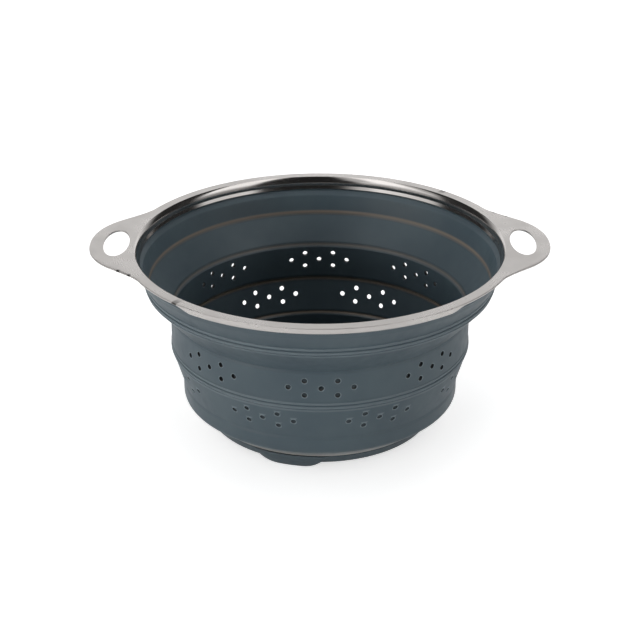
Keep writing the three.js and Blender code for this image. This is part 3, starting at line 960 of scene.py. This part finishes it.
# How rough and how metallic each finish is
SILICONE_IOR = 1.43
SATIN_ROUGHNESS = (0.4, 0.5)
SMOOTH_ROUGHNESS = (0.3, 0.4)
BASE_IOR = 1.46
BASE_ROUGHNESS = (0.42, 0.52)
BRUSHED_ROUGHNESS = (0.24, 0.36)
BRUSHED_METALLIC = 0.8
BRUSHED_MARKS = 0.35
POLISHED_ROUGHNESS = (0.1, 0.18)
POLISHED_METALLIC = 1.0
POLISHED_MARKS = 0.1
FLOOR_ROUGHNESS = 0.9


def object_place(tree):
    return node(tree, "TexCoord").outputs["Object"]


def mark_on(tree, name):
    return node(tree, "Attribute", attribute_name=name).outputs["Fac"]


def silicone_material(name, roughness, highlight_colour):
    """Moulded silicone, with painted light: a warm painted glow of light through a thin hinge, painted shade
    in the drain holes, and painted highlights and reflections where its points are marked so.
    """
    made, tree, shader = new_material(name, IOR=SILICONE_IOR)
    place = object_place(tree)
    colour = blend_colours(tree, clouds(tree, place, SILICONE_CLOUDS), SILICONE, SILICONE_PALE)
    # blends in the painted glow at the hinges, painted highlights and reflections, and painted shade in the
    # bores
    for mark, marked in ((HINGE_GLOW, HINGE_GLOW_COLOUR), (PAINTED_HIGHLIGHT, highlight_colour), (BORE_SHADE, BORE_PAINTED_SHADE)):
        colour = blend_colours(tree, mark_on(tree, mark), colour, marked)
    tree.links.new(colour, shader.inputs["Base Color"])
    worn = noise(tree, place, *SILICONE_WEAR)
    tree.links.new(spread(tree, worn, *WEAR_RANGE, *roughness), shader.inputs["Roughness"])
    ripple = bump(tree, noise(tree, place, *SILICONE_RIPPLE), *SILICONE_RIPPLE_BUMP)
    grain = bump(tree, noise(tree, place, *SILICONE_GRAIN), *SILICONE_GRAIN_BUMP, ripple)
    tree.links.new(grain, shader.inputs["Normal"])
    return made


def base_material():
    """Finely grained moulding of the base and feet."""
    made, tree, shader = new_material("grained_base", IOR=BASE_IOR)
    place = object_place(tree)
    colour = blend_colours(tree, clouds(tree, place, BASE_CLOUDS), BASE_COLOUR, BASE_PALE)
    tree.links.new(colour, shader.inputs["Base Color"])
    worn = noise(tree, place, *BASE_WEAR)
    tree.links.new(spread(tree, worn, *WEAR_RANGE, *BASE_ROUGHNESS), shader.inputs["Roughness"])
    grain = bump(tree, noise(tree, place, *BASE_GRAIN), *BASE_GRAIN_BUMP)
    tree.links.new(grain, shader.inputs["Normal"])
    return made


def polar_place(tree, round_scale, out_scale):
    """Coordinates that run round and out from the Z axis, for marks that follow the rim."""
    x, y, z = node(tree, "SeparateXYZ", {0: object_place(tree)}).outputs
    square = calc(tree, "ADD", calc(tree, "MULTIPLY", x, x), calc(tree, "MULTIPLY", y, y))
    radius = calc(tree, "SQRT", square)
    far = calc(tree, "MULTIPLY", calc(tree, "ADD", radius, z), out_scale)
    across = calc(tree, "MULTIPLY", calc(tree, "DIVIDE", x, radius), round_scale)
    along = calc(tree, "MULTIPLY", calc(tree, "DIVIDE", y, radius), round_scale)
    return node(tree, "CombineXYZ", {0: across, 1: along, 2: far}).outputs[0]


def steel_material(name, metallic, roughness, strength):
    """Stainless steel, duller in patches, darkened at its edge marks, with painted shade at the marks and in
    the dent, with fine brush marks of this strength round the opening.
    """
    made, tree, shader = new_material(name, Metallic=metallic)
    place = object_place(tree)
    patches = clouds(tree, place, STEEL_CLOUDS)
    clean = blend_colours(tree, patches, STEEL, STEEL_DULL)
    # painted shade at the rim's edge marks and in the dent, and a darker strip between the marks
    colour = blend_colours(tree, mark_on(tree, DARK_EDGE_MARKS), clean, STEEL_MARK_SHADE)
    tree.links.new(colour, shader.inputs["Base Color"])
    brushed = noise(tree, polar_place(tree, BRUSHING_ROUND, BRUSHING_OUT), *BRUSHING)
    mean = calc(tree, "DIVIDE", calc(tree, "ADD", patches, brushed), 2)
    tree.links.new(spread(tree, mean, *BRUSHING_RANGE, *roughness), shader.inputs["Roughness"])
    waves = bump(tree, noise(tree, place, *STEEL_WAVES), *STEEL_WAVES_BUMP)
    tree.links.new(bump(tree, brushed, strength, BRUSHING_DEPTH, waves), shader.inputs["Normal"])
    return made


# Marks: values on a piece's points that its material reads, most of them where light or shade is painted


def places_of(piece):
    """A piece's points and how far each lies from the Z axis."""
    places = np.array([vertex.co for vertex in piece.data.vertices])
    return places, np.hypot(places[:, 0], places[:, 1])


def write_mark(piece, name, values):
    attribute = piece.data.attributes.get(name) or piece.data.attributes.new(name, "FLOAT", "POINT")
    attribute.data.foreach_set("value", np.asarray(values, np.float32))


def mark_hole_highlights_and_shade(piece, stretch):
    """Notes which points lie on the outer lip of a drain hole, which gets a painted highlight, and which lie
    in its bore, which gets painted shade.
    """
    places, reach = places_of(piece)
    middle = stretch.at(0, stretch.wall / 2)
    up = (places[:, 2] - middle[1]) / math.cos(stretch.lean)
    outside = reach > middle[0] + (places[:, 2] - middle[1]) * math.tan(stretch.lean)
    turn = np.arctan2(places[:, 1], places[:, 0])
    angles = stretch.columns()
    highlit_lips, shaded_bores = np.zeros(len(places)), np.zeros(len(places))
    for column, row in ring_of_holes():
        across = ((turn - angles[column] + math.pi) % (2 * math.pi) - math.pi) * reach
        off = np.hypot(across, up - row_level(row))
        in_bore = off < BORE_REACH
        shaded_bores[in_bore] = 1
        highlit_lips[(off < LIP_REACH) & outside & ~in_bore] = 1
    write_mark(piece, PAINTED_HIGHLIGHT, highlit_lips)
    write_mark(piece, BORE_SHADE, shaded_bores)


def mark_crest_highlights(piece, radius, fold):
    """Notes which points lie on a raised crest beside a fold, which gets a painted highlight."""
    places, far = places_of(piece)
    near_fold = np.abs(places[:, 2] - fold) < 2 * CREST_HEIGHT + CREST_PITCH
    pale = np.zeros(len(places), np.float32)
    if PAINTED_HIGHLIGHT in piece.data.attributes:
        piece.data.attributes[PAINTED_HIGHLIGHT].data.foreach_get("value", pale)
    pale[near_fold & (far > radius + SOFT_CREST_PROUD / 2)] = CREST_HIGHLIGHT
    write_mark(piece, PAINTED_HIGHLIGHT, pale)


def mark_slope_reflection(piece):
    """Notes which points lie on the base band's slope to the plate, which gets a paler colour as a painted
    reflection of the bright floor.
    """
    places, radius = places_of(piece)
    outside = radius > PLATE_RADIUS + (places[:, 2] - BASE_BAND_FOOT) / BASE_SLOPE - BAND_WALL / 2
    low = places[:, 2] < BASE_BAND_FOOT + BASE_SLOPE_HEIGHT - BASE_CORNER / 2
    write_mark(piece, PAINTED_HIGHLIGHT, outside & low)


def mark_hinge_glow(piece):
    """Notes on each point how near it lies to the inside of a hinge, where a warm glow of light through the
    thin silicone is painted.
    """
    places, radius = places_of(piece)
    thin = np.zeros(len(places))
    for height, band_radius, half_width, strength in HINGE_GLOW_LINES:
        near = np.exp(-(((places[:, 2] - height) / half_width) ** 4))
        on_inside = radius < band_radius - FOLD_INSET - HINGE_WALL / 2
        close = radius > band_radius - 2 * BAND_WALL
        thin = np.maximum(thin, near * on_inside * close * strength)
    write_mark(piece, HINGE_GLOW, thin)


def mark_dark_edges(piece, edge):
    """Notes how dark each point of the rim is painted: painted shade at two marks and in the dent, and a
    lighter darkening of the strip between the marks.
    """
    places, _ = places_of(piece)
    dark_edge_marks = np.zeros(len(places))
    bearings = np.abs(np.arctan2(places[:, 1], places[:, 0]))
    bearings = np.minimum(bearings, math.pi - bearings)
    first, last = TAB_BEARINGS
    marks = sum(dent(bearings, bearing, TAB_MARK_WIDTH) for bearing in TAB_BEARINGS)
    strip = ((bearings > first) & (bearings < last)) * TAB_STRIP_DARKENING
    in_reach = places[:, 2] > RIM_TOP - HEM_DENT_HEIGHT
    pit = dent(bearings, HEM_DENT_BEARING, HEM_DENT_WIDTH) * in_reach * DENT_SHADE
    tree = KDTree(len(edge))
    for index, point in enumerate(edge):
        tree.insert(point, index)
    tree.balance()
    for index in np.nonzero((marks + strip + pit > 0) & (places[:, 0] * places[:, 1] > 0))[0]:
        if tree.find(places[index])[2] < TAB_REACH:
            dark_edge_marks[index] = min(max(marks[index], strip[index], pit[index]), 1)
    write_mark(piece, DARK_EDGE_MARKS, dark_edge_marks)


# Camera, floor and light
CAMERA_PITCH = math.radians(26.096)
CAMERA_TURN = math.radians(-0.42)
CAMERA_DISTANCE = 989.8 * MM
CAMERA_TARGET_DROP = 54.39 * MM
CAMERA_FOCAL = 1538.3
PICTURE_WIDTH = 640
SENSOR = 36

# The floor, and how much light is added to what the camera and shiny surfaces see of it
FLOOR_SIZE = 12.0
FLOOR_LIFT = 0.63
MIRROR_LIFT = 0.2

# The rear wall, as light and as shiny surfaces show it, and the angles between which it fades, in degrees
REAR_LIGHT = 1.85
REAR_MIRRORED = 1.0
REAR_FADE = (128, 152)
REAR_TOP = (46, 36)
REAR_SHADE = (22, 29)
REAR_SHADE_SHARE = 0.44

# Soft boxes: middle as (azimuth, elevation), half size and strength; azimuth 0 is towards the camera
BOX_EDGE = 4
SOFT_BOXES = (
    ((-95, 28), (30, 10), 2.1),
    ((95, 28), (30, 10), 1.5),
    ((-50, 28), (18, 10), 0.45),
    ((-53, 8), (18, 9), 8.3),
    ((54, 8), (18, 9), 4.8),
    ((0, 90), (400, 25), 1.65),
)

# What shiny surfaces show of the soft boxes
MIRRORED_BOXES = (
    ((-55, 58), (36, 28), 0.55),
    ((-55, 58), (18, 28), 0.9),
    ((-55, 24), (30, 6), 0.8),
    ((-55, 9), (30, 9), 0.4),
    ((65, 58), (21, 28), 1.45),
    ((65, 24), (21, 6), 0.8),
    ((65, 9), (21, 9), 0.3),
    ((0, 90), (400, 13), 0.7),
    ((0, 0), (400, 400), 0.018),
)


def add_camera():
    data = bpy.data.cameras.new("camera")
    data.sensor_width = SENSOR
    data.lens = CAMERA_FOCAL * SENSOR / PICTURE_WIDTH
    target = Vector((0, 0, RIM_TOP - CAMERA_TARGET_DROP))
    flat = CAMERA_DISTANCE * math.cos(CAMERA_PITCH)
    rise = CAMERA_DISTANCE * math.sin(CAMERA_PITCH)
    back = Vector((flat * math.sin(CAMERA_TURN), -flat * math.cos(CAMERA_TURN), rise))
    camera = bpy.data.objects.new("camera", data)
    camera.location = target + back
    camera.rotation_euler = (-back).to_track_quat("-Z", "Y").to_euler()
    bpy.context.scene.collection.objects.link(camera)
    bpy.context.scene.camera = camera


def add_floor():
    """A pale floor that keeps its shadow. What the camera and the steel see of it is lifted to white."""
    bpy.ops.mesh.primitive_plane_add(size=FLOOR_SIZE)
    floor = bpy.context.object
    floor.name = "floor"
    made, tree, shader = new_material("pale_floor", Roughness=FLOOR_ROUGHNESS, Specular_IOR_Level=0.0)
    shader.inputs["Base Color"].default_value = FLOOR_COLOUR
    path = node(tree, "LightPath")
    seen = calc(tree, "MAXIMUM", path.outputs["Is Camera Ray"], path.outputs["Is Transmission Ray"])
    mirrored = calc(tree, "MULTIPLY", path.outputs["Is Glossy Ray"], MIRROR_LIFT)
    lift = calc(tree, "MAXIMUM", calc(tree, "MULTIPLY", seen, FLOOR_LIFT), mirrored)
    shader.inputs["Emission Color"].default_value = WHITE
    tree.links.new(lift, shader.inputs["Emission Strength"])
    floor.data.materials.append(made)


def patch(tree, azimuth, elevation, middle, half_size):
    """1 inside a soft-edged patch of the surroundings, 0 outside it. Angles are in degrees."""
    shares = []
    for angle, centre, half in zip((azimuth, elevation), middle, half_size):
        off = calc(tree, "ABSOLUTE", calc(tree, "SUBTRACT", angle, math.radians(centre)))
        edge, inner = math.radians(half + BOX_EDGE), math.radians(half - BOX_EDGE)
        shares.append(spread(tree, off, edge, inner, 0.0, 1.0))
    return calc(tree, "MULTIPLY", *shares)


def light_level(tree, azimuth, elevation, wall, wall_level, boxes):
    """Light from the pale rear wall and from soft boxes, added up."""
    level = calc(tree, "MULTIPLY", wall, wall_level)
    for middle, half_size, strength in boxes:
        box = patch(tree, azimuth, elevation, middle, half_size)
        level = calc(tree, "ADD", level, calc(tree, "MULTIPLY", box, strength))
    return level


def add_surroundings():
    """A soft studio: a pale wall behind the object and soft boxes round it, plain white to the camera."""
    world = bpy.data.worlds.new("studio")
    world.use_nodes = True
    tree = world.node_tree
    background = tree.nodes["Background"]
    x, y, z = node(tree, "SeparateXYZ", {0: node(tree, "TexCoord").outputs["Generated"]}).outputs
    azimuth = calc(tree, "ARCTAN2", x, calc(tree, "MULTIPLY", y, -1.0))
    elevation = calc(tree, "ARCSINE", z)
    behind = spread(tree, calc(tree, "ABSOLUTE", azimuth), *np.radians(REAR_FADE), 0.0, 1.0)
    low = spread(tree, elevation, *np.radians(REAR_TOP), 0.0, 1.0)
    shade = spread(tree, elevation, *np.radians(REAR_SHADE), 1.0, REAR_SHADE_SHARE)
    wall, mirrored_wall = calc(tree, "MULTIPLY", behind, low), calc(tree, "MULTIPLY", behind, shade)
    light = light_level(tree, azimuth, elevation, wall, REAR_LIGHT, SOFT_BOXES)
    mirrored = light_level(tree, azimuth, elevation, mirrored_wall, REAR_MIRRORED, MIRRORED_BOXES)
    path = node(tree, "LightPath")
    shiny = calc(tree, "MULTIPLY", path.outputs["Is Glossy Ray"], calc(tree, "SUBTRACT", mirrored, light))
    level = calc(tree, "ADD", light, shiny)
    background.inputs["Color"].default_value = WHITE
    seen = calc(tree, "MAXIMUM", level, path.outputs["Is Camera Ray"])
    tree.links.new(seen, background.inputs["Strength"])
    bpy.context.scene.world = world


def dress():
    """Makes every piece and says what it rides on and stands for."""
    silicone = silicone_material("satin_silicone", SATIN_ROUGHNESS, LIP_AND_CREST_HIGHLIGHT)
    # its paler colour on the slope is a painted reflection of the bright floor
    smooth_silicone = silicone_material("smooth_silicone", SMOOTH_ROUGHNESS, SLOPE_REFLECTION)
    base = base_material()
    brushed = steel_material("brushed_steel", BRUSHED_METALLIC, BRUSHED_ROUGHNESS, BRUSHED_MARKS)
    polished = steel_material("polished_steel", POLISHED_METALLIC, POLISHED_ROUGHNESS, POLISHED_MARKS)

    rim = steel_rim(brushed, polished)
    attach(rim, "rim")
    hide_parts("rim_plate")

    wall = {
        "top_band": top_band(silicone),
        "upper_web": upper_web(silicone),
        "middle_band": middle_band(silicone),
        "lower_web": lower_web(silicone),
        "base_band": base_band(smooth_silicone),
    }
    for replaced, piece in wall.items():
        mark_hinge_glow(piece)
        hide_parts(replaced)
    mark_slope_reflection(wall["base_band"])
    mark_crest_highlights(wall["top_band"], TOP_RADIUS, UPPER_FOLD)
    mark_crest_highlights(wall["upper_web"], TOP_RADIUS - FOLD_INSET, UPPER_FOLD)
    mark_crest_highlights(wall["middle_band"], MIDDLE_RADIUS, LOWER_FOLD)
    mark_crest_highlights(wall["lower_web"], MIDDLE_RADIUS - FOLD_INSET, LOWER_FOLD)
    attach(wall["top_band"], "rim")
    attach(wall["middle_band"], "middle")
    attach(wall["base_band"], "base")
    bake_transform(wall["upper_web"])
    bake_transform(wall["lower_web"])

    plate = base_plate(base)
    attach(plate, "base")
    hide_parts("base_plate")
    for index in range(FEET):
        lobe = foot(index, base)
        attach(lobe, "base")
        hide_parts(f"foot_{index + 1}")


add_camera()
dress()
add_floor()
add_surroundings()
bpy.context.scene.view_settings.view_transform = "Standard"
